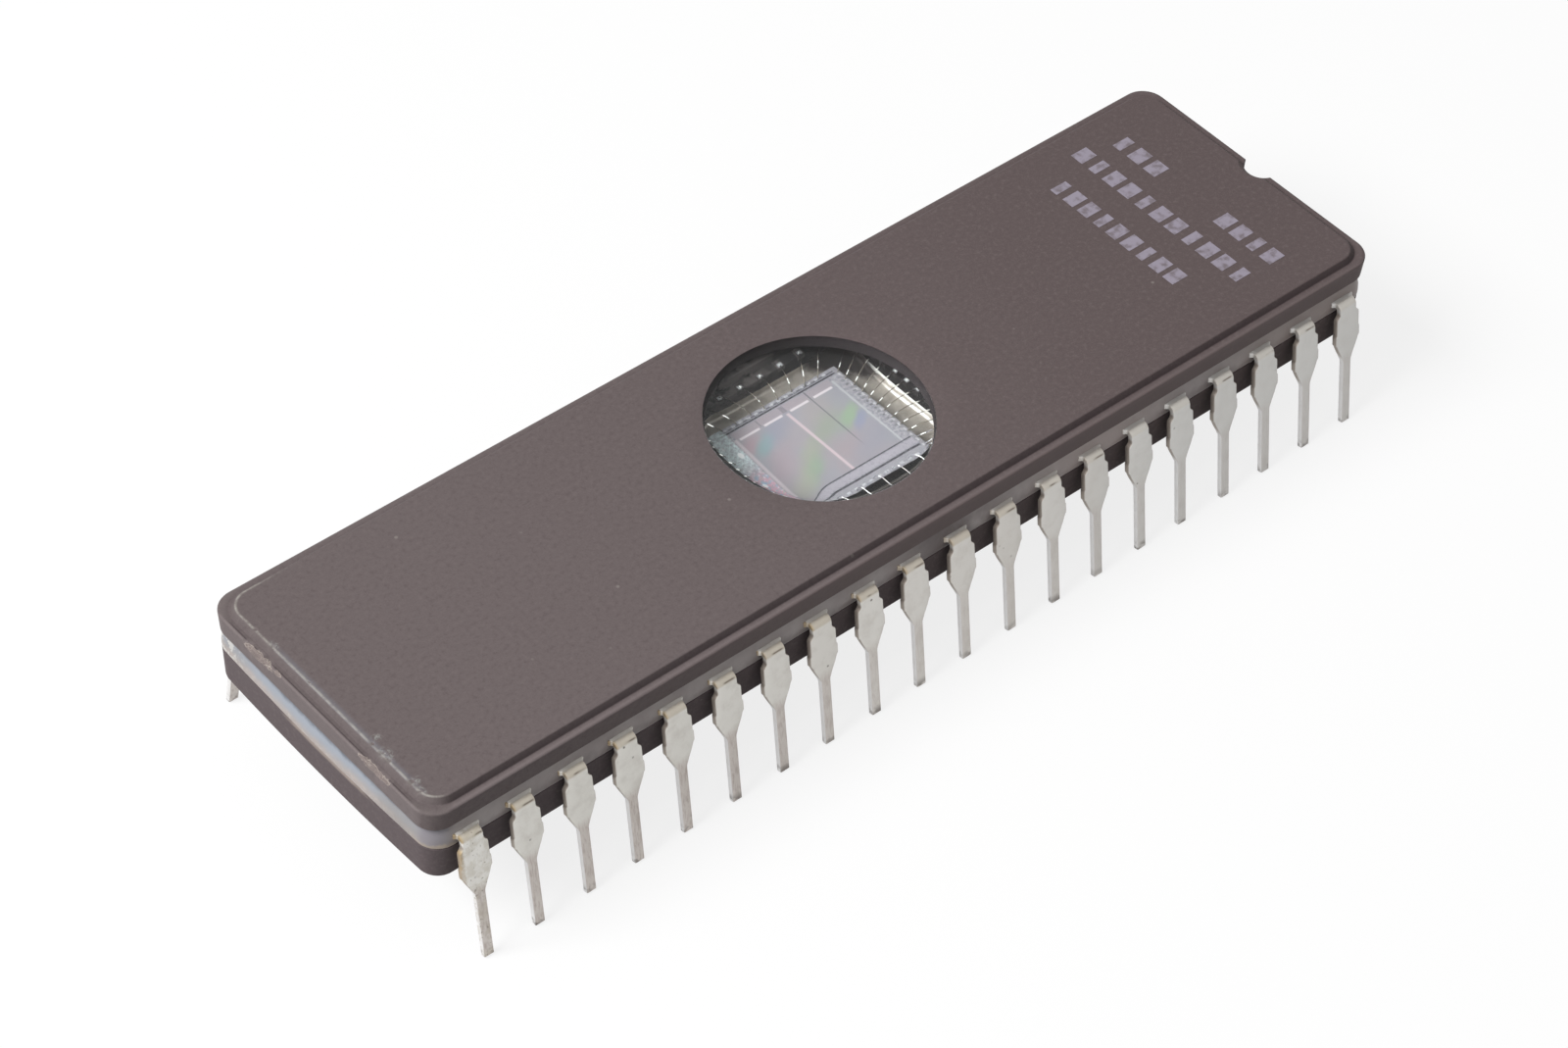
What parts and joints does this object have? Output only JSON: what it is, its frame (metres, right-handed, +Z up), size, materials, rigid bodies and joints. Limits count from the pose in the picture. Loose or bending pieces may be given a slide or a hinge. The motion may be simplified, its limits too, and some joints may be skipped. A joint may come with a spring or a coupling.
{
  "type": "windowed ceramic memory chip",
  "caption": "Ceramic dual in-line memory chip with a round clear window over its die, fused glass seal and bent metal leads along both long sides.",
  "frame": {"origin": "on the surface that the lead tips stand on, midway between the two rows and the two ends", "axes": "+X along the body towards the notched end, +Y across the rows towards leads 1 to 20, +Z up through the window"},
  "size_m": [0.0518, 0.0174, 0.0082],
  "materials": {
    "ceramic": "matt fired brown-grey ceramic",
    "seal_glass": "satin grey fused sealing glass",
    "lead_metal": "dull tinned nickel-iron sheet",
    "window_glass": "clear polished quartz glass",
    "silicon": "polished patterned silicon with thin-film colours",
    "die_attach": "dull silver-filled bonding layer",
    "bond_wire": "bright drawn wire"
  },
  "bodies": {
    "root": {"bond_wires_far": "bond_wire", "bond_wires_left": "bond_wire", "bond_wires_near": "bond_wire", "bond_wires_right": "bond_wire", "ceramic_base": "ceramic", "ceramic_lid": "ceramic", "die": "silicon", "die_attach": "die_attach", "lead_01": "lead_metal", "lead_02": "lead_metal", "lead_03": "lead_metal", "lead_04": "lead_metal", "lead_05": "lead_metal", "lead_06": "lead_metal", "lead_07": "lead_metal", "lead_08": "lead_metal", "lead_09": "lead_metal", "lead_10": "lead_metal", "lead_11": "lead_metal", "lead_12": "lead_metal", "lead_13": "lead_metal", "lead_14": "lead_metal", "lead_15": "lead_metal", "lead_16": "lead_metal", "lead_17": "lead_metal", "lead_18": "lead_metal", "lead_19": "lead_metal", "lead_20": "lead_metal", "lead_21": "lead_metal", "lead_22": "lead_metal", "lead_23": "lead_metal", "lead_24": "lead_metal", "lead_25": "lead_metal", "lead_26": "lead_metal", "lead_27": "lead_metal", "lead_28": "lead_metal", "lead_29": "lead_metal", "lead_30": "lead_metal", "lead_31": "lead_metal", "lead_32": "lead_metal", "lead_33": "lead_metal", "lead_34": "lead_metal", "lead_35": "lead_metal", "lead_36": "lead_metal", "lead_37": "lead_metal", "lead_38": "lead_metal", "lead_39": "lead_metal", "lead_40": "lead_metal", "seal_glass": "seal_glass", "uv_window": "window_glass"}
  },
  "joints": []
}
